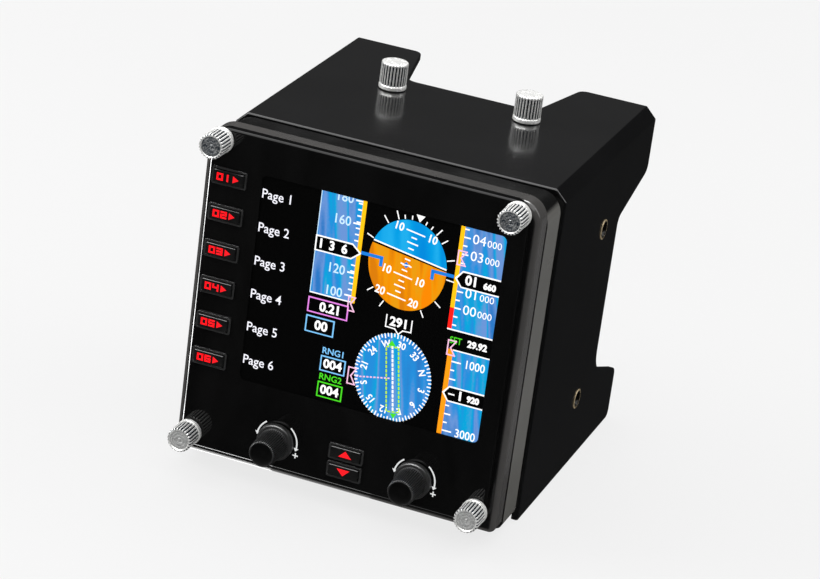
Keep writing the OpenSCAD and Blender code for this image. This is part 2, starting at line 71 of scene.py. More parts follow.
def low_high(node):
    """A node's lowest and highest corners in millimetres, with Y as a depth behind the plate's face."""
    low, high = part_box(node)
    shift = Vector((0, FACE, 0))
    return low / MM - shift, high / MM - shift


def middle(node):
    low, high = low_high(node)
    return (low + high) / 2


def front_view(node):
    """Middle and size of a node as it is seen from the front."""
    low, high = low_high(node)
    return (low.x + high.x) / 2, (low.z + high.z) / 2, high.x - low.x, high.z - low.z


def at(x, depth, z):
    """The frame's point, in metres, for a place in millimetres."""
    return Vector((x, FACE + depth, z)) * MM


# ---- materials ----

class Look:
    """A Principled material that is built up with procedural detail."""

    def __init__(self, name, colour, roughness, metallic=0.0, ior=1.45):
        self.material = bpy.data.materials.new(name)
        self.material.use_nodes = True
        self.tree = self.material.node_tree
        self.shader = self.tree.nodes["Principled BSDF"]
        self.shader.inputs["Base Color"].default_value = (*colour, 1)
        self.shader.inputs["Roughness"].default_value = roughness
        self.shader.inputs["Metallic"].default_value = metallic
        self.shader.inputs["IOR"].default_value = ior
        self.place = self.node("ShaderNodeTexCoord").outputs["Object"]

    def node(self, kind, inputs=None, **settings):
        """A node with its settings; each of its inputs is a fixed value or another node's output."""
        made = self.tree.nodes.new(kind)
        for key, value in settings.items():
            setattr(made, key, value)
        for key, value in (inputs or {}).items():
            if isinstance(value, bpy.types.NodeSocket):
                self.tree.links.new(value, made.inputs[key])
            else:
                made.inputs[key].default_value = value
        return made

    def shade(self, socket, source):
        self.tree.links.new(source, self.shader.inputs[socket])

    def noise(self, size_mm, detail=3.0, stretch=(1, 1, 1), distortion=0.0):
        """Noise whose blobs are about size_mm across."""
        place = self.node("ShaderNodeMapping", {"Scale": stretch, "Vector": self.place})
        return self.node("ShaderNodeTexNoise", {
            "Scale": 1 / (size_mm * MM), "Detail": detail, "Distortion": distortion,
            "Vector": place.outputs["Vector"]}).outputs["Fac"]

    def ramp(self, factor, stops):
        """A colour ramp with stops of (position, colour)."""
        made = self.node("ShaderNodeValToRGB", {"Fac": factor})
        elements = made.color_ramp.elements
        while len(elements) < len(stops):
            elements.new(0.5)
        for element, (position, colour) in zip(elements, stops):
            element.position = position
            element.color = (*colour, 1)
        return made.outputs["Color"]

    def mapped(self, value, start, end, low=0.0, high=1.0):
        """A value whose range from start to end becomes low to high."""
        return self.node("ShaderNodeMapRange", {
            "Value": value, "From Min": start, "From Max": end, "To Min": low,
            "To Max": high}).outputs["Result"]

    def colours(self, factor, dark, light):
        self.shade("Base Color", self.ramp(factor, [(0.35, dark), (0.65, light)]))

    def covered(self, cover, colour):
        """Lays a fixed colour over the base colour, as far as cover goes."""
        under = self.shader.inputs["Base Color"].links[0].from_socket
        mixed = self.node("ShaderNodeMix", {"Factor": cover, "A": under, "B": (*colour, 1)},
                          data_type="RGBA")
        self.shade("Base Color", mixed.outputs["Result"])

    def roughness(self, factor, smooth, rough):
        self.shade("Roughness", self.mapped(factor, 0.3, 0.7, smooth, rough))

    def bump(self, height, depth_mm, strength=1.0):
        """Adds a relief of about depth_mm."""
        made = self.node("ShaderNodeBump", {
            "Distance": depth_mm * MM, "Strength": strength, "Height": height})
        self.shade("Normal", made.outputs["Normal"])
        return self

    def rings(self, pitch_mm):
        """Turning marks round the piece's own Z axis."""
        return self.node("ShaderNodeTexWave", {
            "Scale": math.tau / (20 * pitch_mm * MM), "Detail": 2, "Vector": self.place},
            wave_type="RINGS", rings_direction="Z").outputs["Fac"]

    def glow(self, colour, strength=1.0):
        """Light from the surface, of a node's colour."""
        self.shade("Emission Color", colour)
        self.shader.inputs["Emission Strength"].default_value = strength
        return self


def srgb(red, green, blue):
    """Linear colour of a display colour given from 0 to 255."""
    def linear(value):
        value /= 255
        return value / 12.92 if value <= 0.04045 else ((value + 0.055) / 1.055) ** 2.4
    return (linear(red), linear(green), linear(blue))


def grey(value):
    return (value, value, value)


def painted_look():
    look = Look("bracket_paint", grey(0.005), 0.18, ior=1.75)
    look.colours(look.noise(40, detail=2), (0.0034, 0.0034, 0.0036), (0.0044, 0.0044, 0.0047))
    look.roughness(look.noise(18), 0.13, 0.18)
    return look.bump(look.noise(0.35, detail=2), 0.001, 0.03)


def gloss_look():
    look = Look("gloss_face", grey(0.004), 0.04)
    smear = look.noise(14, detail=4, stretch=(1, 1, 0.35), distortion=1.2)
    look.colours(smear, grey(0.0032), grey(0.0050))
    look.roughness(smear, 0.015, 0.07)
    return look.bump(look.noise(3, detail=1), 0.001, 0.02)


def shell_look(name, dark, light, painted_shade_masks):
    """Satin moulded shell with painted shade: its colour turns black along masked bands where shade falls.

    Each mask is (axis, place where no shade is painted, place where the painted shade is full black).
    """
    look = Look(name, light, 0.2, ior=1.5)
    look.colours(look.noise(25, detail=2, stretch=(1, 0.5, 1)), dark, light)
    split = look.node("ShaderNodeSeparateXYZ", {"Vector": look.place})
    for axis, unshaded_at, shaded_at in painted_shade_masks:
        # Painted shade: each masked band is covered with near-black.
        look.covered(look.mapped(split.outputs[axis], unshaded_at, shaded_at), grey(0.006))
    look.roughness(look.noise(12), 0.14, 0.22)
    return look.bump(look.noise(0.4, detail=2), 0.001, 0.01)


def grained_look(name, dark, light, smooth, rough, grain_mm=0.3, relief=0.012, ior=1.45):
    """Moulded plastic with a fine spark-eroded grain."""
    look = Look(name, light, rough, ior=ior)
    look.colours(look.noise(2.5, detail=5), dark, light)
    look.roughness(look.noise(1.4), smooth, rough)
    return look.bump(look.noise(grain_mm), relief, 0.5)


def turned_look(name, dark, light, smooth, rough, pitch_mm=0.5, relief=0.012, metallic=1.0,
                painted_shade_colour=None):
    """Turned metal with fine rings round the piece's own axis, and painted shade where the mesh says."""
    look = Look(name, light, rough, metallic=metallic, ior=1.6)
    look.colours(look.noise(0.45, detail=4), dark, light)
    look.roughness(look.noise(1.2), smooth, rough)
    # Painted shade: groove bottoms and the face's dish are covered with a dark colour, in patches.
    if painted_shade_colour:
        grime = look.node("ShaderNodeAttribute", attribute_name="grime").outputs["Fac"]
        patchy = look.node("ShaderNodeMath", {0: look.noise(0.42), 1: 0.5}, operation="ADD")
        patchy = look.node("ShaderNodeMath", {0: patchy.outputs["Value"], 1: grime},
                           operation="MULTIPLY").outputs["Value"]
        look.covered(look.ramp(patchy, [(0.14, grey(0)), (0.45, grey(1))]), painted_shade_colour)
    return look.bump(look.rings(pitch_mm), relief, 0.7)


def plated_look(name, dark, light, smooth, rough):
    """Plated or plain sheet metal with a faint grain along X."""
    look = Look(name, light, rough, metallic=1.0)
    look.colours(look.noise(1.5, detail=5), dark, light)
    look.roughness(look.noise(0.5, detail=4, stretch=(0.1, 1, 1)), smooth, rough)
    return look.bump(look.noise(0.2, detail=2, stretch=(0.1, 1, 1)), 0.004, 0.4)


def board_look():
    look = Look("circuit_board", (0.02, 0.16, 0.06), 0.3)
    upright = look.node("ShaderNodeMapping", {"Rotation": (math.pi / 2, 0, 0), "Vector": look.place})
    tracks = look.node("ShaderNodeTexBrick", {
        "Scale": 180, "Color1": (0.012, 0.11, 0.04, 1), "Color2": (0.02, 0.17, 0.065, 1),
        "Mortar": (0.05, 0.28, 0.11, 1), "Mortar Size": 0.012, "Vector": upright.outputs["Vector"]})
    look.shade("Base Color", tracks.outputs["Color"])
    look.roughness(look.noise(3), 0.22, 0.4)
    return look.bump(tracks.outputs["Fac"], 0.02, 0.4)


def lit_look(name, stops, band_mm):
    """A lit screen area whose colours run in soft, slightly tilted upright bands."""
    look = Look(name, grey(0.002), 0.12, ior=1.3)
    tilted = look.node("ShaderNodeMapping", {"Rotation": (0, 0.12, 0), "Vector": look.place})
    long = look.node("ShaderNodeMapping", {"Scale": (1, 1, 0.09), "Vector": tilted.outputs["Vector"]})
    bands = look.node("ShaderNodeTexNoise", {
        "Scale": 1 / (band_mm * MM), "Detail": 1.0, "Distortion": 0.25, "Vector": long.outputs["Vector"]})
    mixed = look.node("ShaderNodeMath", {0: look.noise(0.6, detail=2), 1: 0.06, 2: bands.outputs["Fac"]},
                      operation="MULTIPLY_ADD")
    return look.glow(look.ramp(mixed.outputs["Value"], stops))


def print_look(name, colour, strength=1.0):
    """A flat lit colour with a slight unevenness; a printed colour given here glows too, as painted light.
    """
    look = Look(name, tuple(0.35 * c for c in colour), 0.35, ior=1.3)
    uneven = look.noise(0.35)
    faded = tuple(0.86 * c for c in colour)
    look.glow(look.ramp(uneven, [(0.3, faded), (0.6, colour)]), strength)
    return look.bump(uneven, 0.002, 0.3)


SKY = srgb(0, 160, 232)
BLUE = srgb(36, 144, 222)
LAVENDER = srgb(108, 152, 218)
TEAL = srgb(0, 168, 222)
DEEP = srgb(44, 122, 200)

rear_shell_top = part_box("rear_shell")[1].z


def front_of(node, behind_mm):
    """Y a few millimetres behind a node's front."""
    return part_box(node)[0].y + behind_mm * MM


# Grained plastics: darker and lighter colour, smoothest and roughest, then grain, relief and IOR.
GRAINED = {
    "seal_rubber": (grey(0.006), grey(0.012), 0.6, 0.8),
    "cover_plastic": (grey(0.012), grey(0.022), 0.45, 0.6, 0.4, 0.02),
    "key_plastic": (grey(0.008), grey(0.012), 0.16, 0.24, 0.6, 0.0008),
    "frame_plastic": (grey(0.028), grey(0.038), 0.12, 0.2, 0.8, 0.0006, 1.7),
    "white_plastic": (grey(0.7), grey(0.82), 0.5, 0.65),
    "switch_body": (grey(0.30), grey(0.40), 0.4, 0.6),
    "chip_plastic": (grey(0.012), grey(0.025), 0.5, 0.7),
    "cable_film": ((0.60, 0.55, 0.44), (0.72, 0.67, 0.55), 0.25, 0.4),
    "display_panel": (grey(0.008), (0.01, 0.012, 0.02), 0.1, 0.2),
}

# Colours of the lit lines and figures, and of the keys' red legends.
PRINTS = {
    "lit_white": grey(0.96), "lit_menu": srgb(236, 236, 244), "lit_black": grey(0.0008),
    "lit_yellow": srgb(255, 190, 0), "lit_orange": srgb(255, 150, 0), "lit_red": srgb(255, 20, 8),
    "lit_wing": srgb(20, 120, 214), "lit_cyan": srgb(120, 190, 240), "lit_pale": srgb(196, 226, 246),
    "lit_green": srgb(70, 214, 30), "lit_lime": srgb(180, 230, 20), "lit_magenta": srgb(226, 130, 226),
    "lit_pink": srgb(240, 190, 220), "legend_red": srgb(255, 18, 30),
}

looks = {
    "bracket_paint": painted_look(),
    "gloss_face": gloss_look(),
    # The front shell's front rim is painted black: painted shade where the rim faces away from the lights.
    "shell_plastic": shell_look("shell_plastic", (0.062, 0.060, 0.058), (0.074, 0.071, 0.069),
                                [("Y", front_of("front_shell", 0.12), front_of("front_shell", 0.0))]),
    # The rear shell's lighter base colour is a painted reflection of the light its sides catch; its top
    # under the bracket and its front edge at the seam get painted shade.
    "rear_shell_plastic": shell_look(
        "rear_shell_plastic", (0.122, 0.120, 0.112), (0.146, 0.143, 0.134),
        [("Z", rear_shell_top - 3.4 * MM, rear_shell_top - 2.2 * MM),
         ("Y", front_of("rear_shell", 0.7), front_of("rear_shell", 0.35))]),
    "display_glass": Look("display_glass", grey(0.002), 0.05, ior=1.4),
    "circuit_board": board_look(),
    # Knobs: near-black painted shade in the rib grooves and the sunk face.
    "knob_plastic": turned_look("knob_plastic", grey(0.026), grey(0.036), 0.28, 0.36, 0.7, 0.001, 0.0,
                                painted_shade_colour=grey(0.001)),
    "plated_steel": plated_look("plated_steel", grey(0.42), grey(0.60), 0.22, 0.4),
    "black_steel": plated_look("black_steel", grey(0.02), grey(0.04), 0.3, 0.5),
    "shaft_steel": turned_look("shaft_steel", grey(0.5), grey(0.64), 0.18, 0.3),
    # Thumbscrews: a bluish dark colour in the grooves and dished face, as painted shade and a painted
    # reflection of the dark surroundings.
    "screw_metal": turned_look("screw_metal", (0.86, 0.86, 0.84), (0.97, 0.97, 0.95), 0.2, 0.3,
                               metallic=0.3, painted_shade_colour=(0.016, 0.027, 0.042)),
    # Brass inserts: near-black painted shade inside the hole and on the threads.
    "brass": turned_look("brass", (0.58, 0.44, 0.25), (0.80, 0.65, 0.42), 0.2, 0.34, metallic=0.5,
                         painted_shade_colour=(0.004, 0.003, 0.002)),
    "tape_blue": lit_look("tape_blue", [(0.30, DEEP), (0.42, LAVENDER), (0.50, BLUE),
                                        (0.58, TEAL), (0.68, LAVENDER)], 3.4),
    "rose_blue": lit_look("rose_blue", [(0.30, DEEP), (0.42, BLUE), (0.50, LAVENDER),
                                        (0.58, TEAL), (0.68, BLUE)], 4.2),
    "sky_blue": lit_look("sky_blue", [(0.35, srgb(0, 140, 224)), (0.5, SKY),
                                      (0.65, srgb(30, 176, 240))], 4.0),
    "ground_orange": lit_look("ground_orange", [(0.34, srgb(224, 128, 8)), (0.46, srgb(250, 150, 0)),
                                                (0.56, srgb(238, 160, 16)),
                                                (0.66, srgb(255, 140, 0))], 2.6),
    # The printed white marks glow as well: painted light, since nothing lights them from within.
    "legend_white": print_look("legend_white", srgb(238, 240, 240), 0.75),
}
looks.update({name: grained_look(name, *values) for name, values in GRAINED.items()})
looks.update({name: print_look(name, colour) for name, colour in PRINTS.items()})


# ---- mesh helpers ----

def as_mesh(bm, name):
    mesh = bpy.data.meshes.new(name)
    bm.to_mesh(mesh)
    bm.free()
    return mesh


def mesh_of(bm):
    """A mesh from a bmesh in millimetres, welded and with outward normals."""
    bmesh.ops.remove_doubles(bm, verts=bm.verts, dist=1e-5)
    bmesh.ops.dissolve_degenerate(bm, edges=bm.edges, dist=1e-6)
    bmesh.ops.recalc_face_normals(bm, faces=bm.faces)
    mesh = as_mesh(bm, "work")
    mesh.transform(Matrix.Scale(MM, 4))
    return mesh


def shown(name, data):
    """A new object in the scene."""
    made = bpy.data.objects.new(name, data)
    bpy.context.scene.collection.objects.link(made)
    return made


def evaluated(piece):
    """The mesh of an object with its modifiers or its text laid out; the object goes away."""
    bpy.context.view_layer.update()
    graph = bpy.context.evaluated_depsgraph_get()
    mesh = bpy.data.meshes.new_from_object(piece.evaluated_get(graph))
    bpy.data.objects.remove(piece)
    return mesh


def finished(name, mesh, look, body=None, stands_for=(), smooth=35, place=None):
    """Links a mesh as a piece of the object, with its material and body, and hides the CAD nodes it stands
    for.
    """
    piece = shown(name, mesh)
    mesh.name = name
    mesh.materials.clear()
    mesh.materials.append(looks[look].material)
    mesh.shade_smooth()
    mesh.set_sharp_from_angle(angle=math.radians(smooth))
    normals = piece.modifiers.new("normals", "WEIGHTED_NORMAL")
    normals.keep_sharp = True
    normals.weight = 80
    if place:
        piece.matrix_world = place
    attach(piece, body or BODY_OF[stands_for[0]])
    if stands_for:
        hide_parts(*stands_for)


QUARTERS = ((1, 1), (-1, 1), (-1, -1), (1, -1))


def polar(centre, radius, angle):
    return (centre[0] + radius * math.cos(angle), centre[1] + radius * math.sin(angle))


def rounded_rectangle(width, height, radius, steps=8, foot_radius=None):
    """Points of a rectangle with round corners, round its middle, anticlockwise."""
    points = []
    for corner, (sx, sz) in enumerate(QUARTERS):
        r = foot_radius if foot_radius and sz < 0 else radius
        for i in range(steps + 1):
            middle_of_round = (sx * (width / 2 - r), sz * (height / 2 - r))
            points.append(polar(middle_of_round, r, math.radians(90 * (corner + i / steps))))
    return points


def fillet(inset, depth, radius, turn, steps=4):
    """Stations (inset, depth) along a quarter round; turn 1 goes from the face to the side."""
    stations = []
    for i in range(steps + 1):
        a = math.radians(90 * i / steps)
        across, down = radius * (1 - math.sin(a)), radius * (1 - math.cos(a))
        stations.append((inset + across, depth + down) if turn > 0 else (inset + down, depth - across))
    return stations


def lofted(node, radius, foot_radius, stations, steps):
    """A closed body with a node's outline, its corners rounded, inset at each depth in turn."""
    bm = bmesh.new()
    rings = []
    centre_x, centre_z, width, height = front_view(node)
    for inset, depth in stations:
        outline = rounded_rectangle(width - 2 * inset, height - 2 * inset, max(radius - inset, 0.2),
                                    steps, max(foot_radius - inset, 0.2))
        rings.append([bm.verts.new((centre_x + x, FACE + depth, centre_z + z)) for x, z in outline])
    count = len(rings[0])
    for ring, other in zip(rings, rings[1:]):
        for i in range(count):
            bm.faces.new((ring[i], ring[(i + 1) % count], other[(i + 1) % count], other[i]))
    bm.faces.new(rings[0][::-1])
    bm.faces.new(rings[-1])
    return mesh_of(bm)


def prism(bm, outline, depth_0, depth_1):
    """Adds a closed prism with an outline in X and Z to a bmesh."""
    front = [bm.verts.new((x, FACE + depth_0, z)) for x, z in outline]
    back = [bm.verts.new((x, FACE + depth_1, z)) for x, z in outline]
    count = len(outline)
    bm.faces.new(front)
    bm.faces.new(back[::-1])
    for i in range(count):
        bm.faces.new((front[i], back[i], back[(i + 1) % count], front[(i + 1) % count]))


def circle(x, z, radius, steps):
    return [polar((x, z), radius, math.tau * i / steps) for i in range(steps)]


def box_outline(x, z, width, height):
    return [(x + sx * width / 2, z + sz * height / 2) for sx, sz in QUARTERS]


def cut(mesh, cutter):
    """The mesh with a cutter's volume taken away."""
    body = shown("cut_body", mesh)
    tool = shown("cut_tool", cutter)
    modifier = body.modifiers.new("cut", "BOOLEAN")
    modifier.operation = "DIFFERENCE"
    modifier.solver = "EXACT"
    modifier.use_self = True
    modifier.object = tool
    result = evaluated(body)
    bpy.data.objects.remove(tool)
    return result


def bevelled(mesh, width_mm, edge_test, segments=3, clamp=True):
    """The mesh with the edges that edge_test picks rounded."""
    bm = bmesh.new()
    bm.from_mesh(mesh)
    bm.normal_update()
    edges = [e for e in bm.edges if len(e.link_faces) == 2 and edge_test(e)]
    bmesh.ops.bevel(bm, geom=edges, offset=width_mm * MM, offset_type="OFFSET", segments=segments,
                    profile=0.5, affect="EDGES", clamp_overlap=clamp)
    bm.normal_update()
    bm.to_mesh(mesh)
    bm.free()
    return mesh


def sharp(edge, degrees=40):
    return edge.calc_face_angle(0) > math.radians(degrees)


def node_mesh(node):
    """A welded copy of a CAD node's mesh with its flat faces joined."""
    bm = bmesh.new()
    bm.from_mesh(frame["nodes"][node].data)
    bmesh.ops.remove_doubles(bm, verts=bm.verts, dist=1e-6)
    bmesh.ops.dissolve_limit(bm, angle_limit=math.radians(0.5), verts=bm.verts, edges=bm.edges)
    bmesh.ops.recalc_face_normals(bm, faces=bm.faces)
    return as_mesh(bm, node)


def softened(node, look, width_mm, segments=3, edge_test=sharp):
    """A piece that stands for a CAD node, with its edges rounded."""
    mesh = bevelled(node_mesh(node), width_mm, edge_test, segments)
    finished(node + "_shaped", mesh, look, stands_for=(node,))


def turned(stations, ribs=0, sharpness=2.0, dish_radius=0.0, dish_depth=0.5, painted_shade_in_dish=0.0):
    """A closed turned body along its own Z axis.

    Each station is (z, radius, rib depth); the ribs' grooves cut that deep into the radius. A vertex
    attribute marks where shade is painted: 1 at the bottom of the grooves and the dish value on the face's
    inner part.
    """
    count = ribs * 8 if ribs else 64
    bm = bmesh.new()
    grime = bm.verts.layers.float.new("grime")
    deepest = max(station[2] for station in stations) or 1
    top = max(station[0] for station in stations)
    rings = []
    for z, radius, depth in stations:
        on_face = z > top - dish_depth and radius < dish_radius
        if radius == 0:
            rings.append([bm.verts.new((0, 0, z))])
            rings[-1][0][grime] = painted_shade_in_dish * on_face
            continue
        ring = []
        for i in range(count):
            a = math.tau * i / count
            groove = (0.5 - 0.5 * math.cos(a * ribs)) ** sharpness if ribs else 0
            ring.append(bm.verts.new((*polar((0, 0), radius - depth * groove, a), z)))
            ring[-1][grime] = painted_shade_in_dish if on_face else groove * depth / deepest
        rings.append(ring)
    for ring, other in zip(rings, rings[1:]):
        for i in range(count):
            j = (i + 1) % count
            corners = (ring[i % len(ring)], ring[j % len(ring)],
                       other[j % len(other)], other[i % len(other)])
            bm.faces.new(list(dict.fromkeys(corners)))
    return mesh_of(bm)


def facing(x, z):
    """The place of a turned body whose own Z axis points out of the plate."""
    return Matrix.Translation(at(x, 0, z)) @ Matrix.Rotation(math.pi / 2, 4, "X")


# ---- bracket ----

def bracket():
    """The folded sheet with softly rounded paint edges and a rounder front lip."""
    sheet = 2.0
    low, high = low_high("mount_bracket")
    lip = (FACE + low.y) * MM
    rear = (FACE + high.y - 30) * MM
    close = 0.05 * MM

    def cut_out_corner(edge):
        """True for the corners of the sheet's outline in its rear half."""
        length = (edge.verts[0].co - edge.verts[1].co).length / MM
        return sharp(edge, 35) and abs(length - sheet) < 0.3 and edge.verts[0].co.y > rear

    def outer_lip(edge):
        """True for the front edge of the sheet's outside, along both sides, both folds and the top."""
        return all(abs(v.co.y - lip) < close and
                   (high.x * MM - abs(v.co.x) < close or high.z * MM - v.co.z < close) for v in edge.verts)

    mesh = bevelled(node_mesh("mount_bracket"), 2.2, cut_out_corner, 4)
    mesh = bevelled(mesh, 0.65, outer_lip, 5, clamp=False)
    mesh = bevelled(mesh, 0.3, lambda e: sharp(e, 30), 3, clamp=False)
    finished("bracket_shaped", mesh, "bracket_paint", stands_for=("mount_bracket",))


# ---- panel ----

KEYS = [f"selector_key_{i}" for i in range(1, 7)]
STEP_KEYS = ["step_key_up", "step_key_down"]
KNOBS = ["knob_left", "knob_right"]
CORNERS = ["corner_screw_top_left", "corner_screw_top_right", "corner_screw_low_left",
           "corner_screw_low_right"]


def openings(grow_keys, knob_radius, screw_radius, depth_0, depth_1, window):
    """The cutter for every opening in a plate: window, keys, knobs and thumbscrews."""
    bm = bmesh.new()
    prism(bm, window, depth_0, depth_1)
    for node in KEYS + STEP_KEYS:
        x, z, width, height = front_view(node)
        prism(bm, box_outline(x, z, width + grow_keys, height + grow_keys), depth_0, depth_1)
    for nodes, radius, steps in ((KNOBS, knob_radius, 48), (CORNERS, screw_radius, 32)):
        for node in nodes:
            centre = middle(node)
            prism(bm, circle(centre.x, centre.z, radius, steps), depth_0, depth_1)
    return mesh_of(bm)


def front_plate():
    """The glossy plate: a large radius round its front edge, and crisp openings."""
    low, high = low_high("face_plate")
    edge_r = 0.85
    back_r = 0.2
    corner_r = 4.5
    lens_gap = 0.1
    stations = fillet(0, low.y, edge_r, 1, 6) + fillet(0, high.y, back_r, -1, 2)
    body = lofted("face_plate", corner_r, corner_r, stations, 14)
    x, z, width, height = front_view("display_lens")
    window = [(x + u, z + v) for u, v in rounded_rectangle(width + lens_gap, height + lens_gap, 1.6)]
    mesh = cut(body, openings(-0.45, 4.3, 1.5, low.y - 1, high.y + 1, window))
    mesh = bevelled(mesh, 0.12, lambda e: sharp(e, 60), 2)
    finished("front_plate", mesh, "gloss_face", stands_for=("face_plate",), smooth=30)


def front_housing():
    """The front shell: a tray with a wide fillet round its front."""
    low, high = low_high("front_shell")
    wall = 2.2
    floor_t = 1.6
    front_r = 1.8
    back_r = 0.2
    seam = 0.35
    neck = 0.8
    corner_r = 6
    foot_r = 2
    stations = fillet(0, low.y, front_r, 1, 8) + fillet(0, high.y - seam, back_r, -1, 3)
    stations += [(neck, high.y - seam), (neck, high.y), (wall, high.y), (wall, low.y + floor_t)]
    body = lofted("front_shell", corner_r, foot_r, stations, 16)
    x, z, width, height = front_view("display_lens")
    window = box_outline(x, z, width + 6, height + 4)
    mesh = cut(body, openings(1, 3.2, 1.95, low.y - 1, low.y + floor_t + 1, window))
    finished("front_shell_shaped", mesh, "shell_plastic",
             stands_for=("front_shell",), smooth=30)


def rear_housing():
    """The rear shell, its outer edges rounded."""
    low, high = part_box("rear_shell")
    side_zone = 3 * MM
    rim_zone = 1.5 * MM

    def outer(edge):
        """True for edges on the outside of the shell."""
        place = (edge.verts[0].co + edge.verts[1].co) / 2
        near_side = min(place.x - low.x, high.x - place.x) < side_zone
        near_rim = min(place.z - low.z, high.z - place.z) < rim_zone
        return sharp(edge) and (near_side or near_rim)

    softened("rear_shell", "rear_shell_plastic", 0.4, edge_test=outer)


def keys():
    """Key caps with rounded edges, and the thin raised frames round them."""
    frames = ["selector_key_frames", "step_key_frames"]
    for nodes, look, width in ((KEYS + STEP_KEYS, "key_plastic", 0.3), (frames, "frame_plastic", 0.22)):
        for node in nodes:
            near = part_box(node)[0].y + 0.1 * MM
            softened(node, look, width,
                     edge_test=lambda e: sharp(e) and min(v.co.y for v in e.verts) < near)


# ---- knobs and thumbscrews ----

def knobs():
    """Ribbed knobs with a plain skirt, a slight taper and a sunk face in a thin rim."""
    for node in KNOBS:
        low, high = low_high(node)
        centre = (low + high) / 2
        skirt = (high.x - low.x) / 2
        foot = -high.y
        tip = -low.y
        bore = 2.05
        body = 4.3
        face = 3.85
        rib = 0.34
        top = tip - 0.45
        stations = [(tip - 2, 0, 0), (tip - 2, bore, 0), (foot, bore, 0), (foot, skirt - 0.2, 0),
                    (foot + 0.2, skirt, 0), (foot + 1.5, skirt, 0), (foot + 1.85, skirt - 0.15, 0),
                    (foot + 2, skirt - 0.45, 0), (foot + 2.02, body + 0.05, 0),
                    (foot + 2.3, body, 0), (foot + 2.6, body, rib)]
        stations += [(foot + 2.6 + (top - foot - 2.6) * t, body + (face - body) * t, rib)
                     for t in (0.25, 0.5, 0.75, 1)]
        stations += [(tip - 0.15, face - 0.12, rib * 0.8), (tip, face - 0.32, rib * 0.3),
                     (tip, face - 0.55, 0), (tip - 0.12, face - 0.68, 0), (tip - 0.12, 0.9, 0),
                     (tip - 0.12, 0, 0)]
        # The grooves and the sunk face get painted shade.
        mesh = turned(stations, 44, 1.6, dish_radius=face - 0.6, painted_shade_in_dish=0.75)
        finished(node + "_ribbed", mesh, "knob_plastic",
                 stands_for=(node,), smooth=45, place=facing(centre.x, centre.z))


def thumbscrew(node, mesh, place):
    finished(node + "_knurled", mesh, "screw_metal",
             stands_for=(node,), smooth=40, place=place)


def corner_thumbscrews():
    """Knurled screws with a plain collar, a toothed rim and a turned, dished face."""
    for node in CORNERS:
        low, high = low_high(node)
        centre = (low + high) / 2
        grip = (high.x - low.x) / 2 - 0.1
        foot = 0.2
        tip = -low.y
        shank = 1.25
        collar = foot + 1.25
        rib = 0.42
        dish = tip - 0.3
        stations = [(-high.y, 0, 0), (-high.y, shank - 0.2, 0), (0.2 - high.y, shank, 0),
                    (foot, shank, 0), (foot, grip - 0.1, 0), (foot + 0.15, grip + 0.1, 0),
                    (collar - 0.15, grip + 0.1, 0), (collar, grip - 0.05, 0),
                    (collar + 0.02, grip - 0.2, 0), (collar + 0.35, grip - 0.02, rib * 0.6),
                    (collar + 0.6, grip, rib), (tip - 0.5, grip, rib), (tip - 0.12, grip - 0.08, rib),
                    (tip, grip - 0.3, rib * 0.55), (tip, grip - 0.62, 0), (dish, grip - 0.85, 0)]
        stations += [(dish + 0.09 - 0.09 * math.cos(math.tau * k / 4), 2.5 - 0.21 * k, 0)
                     for k in range(9)]
        stations += [(dish - 0.12, 0.6, 0), (dish - 0.02, 0.45, 0), (dish + 0.14, 0.2, 0),
                     (dish + 0.16, 0, 0)]
        # The dished face gets painted shade; the upper screws get more, a painted reflection of the dark
        # surroundings in front of them.
        grime = 0.40 if "top" in node else 0.25
        mesh = turned(stations, 24, dish_radius=grip - 0.7, painted_shade_in_dish=grime)
        thumbscrew(node, mesh, facing(centre.x, centre.z))


def top_thumbscrews():
    """Taller knurled screws on the top plate, with a plain foot and a smooth pale crown."""
    for node in ("top_screw_left", "top_screw_right"):
        low, high = low_high(node)
        centre = (low + high) / 2
        seat = low_high("mount_bracket")[1].z
        grip = (high.x - low.x) / 2 - 0.1
        tip = high.z - seat
        foot = 0.2
        shank = 1.95
        rib = 0.42
        collar = foot + 1.2
        stations = [(low.z - seat, 0, 0), (low.z - seat, shank - 0.3, 0), (low.z - seat + 0.3, shank, 0),
                    (foot, shank, 0), (foot, grip - 0.1, 0), (foot + 0.15, grip + 0.1, 0),
                    (collar - 0.15, grip + 0.1, 0), (collar, grip, 0), (collar + 0.05, grip - 0.12, 0),
                    (collar + 0.3, grip - 0.02, rib * 0.7), (collar + 0.5, grip, rib),
                    (tip - 0.95, grip, rib), (tip - 0.7, grip - 0.02, rib * 0.7),
                    (tip - 0.55, grip, 0.12), (tip - 0.25, grip - 0.05, 0.1), (tip - 0.05, grip - 0.22, 0),
                    (tip, grip - 0.5, 0), (tip - 0.02, 2.4, 0), (tip - 0.02, 1.2, 0), (tip - 0.02, 0, 0)]
        thumbscrew(node, turned(stations, 26), Matrix.Translation(at(centre.x, centre.y, seat)))


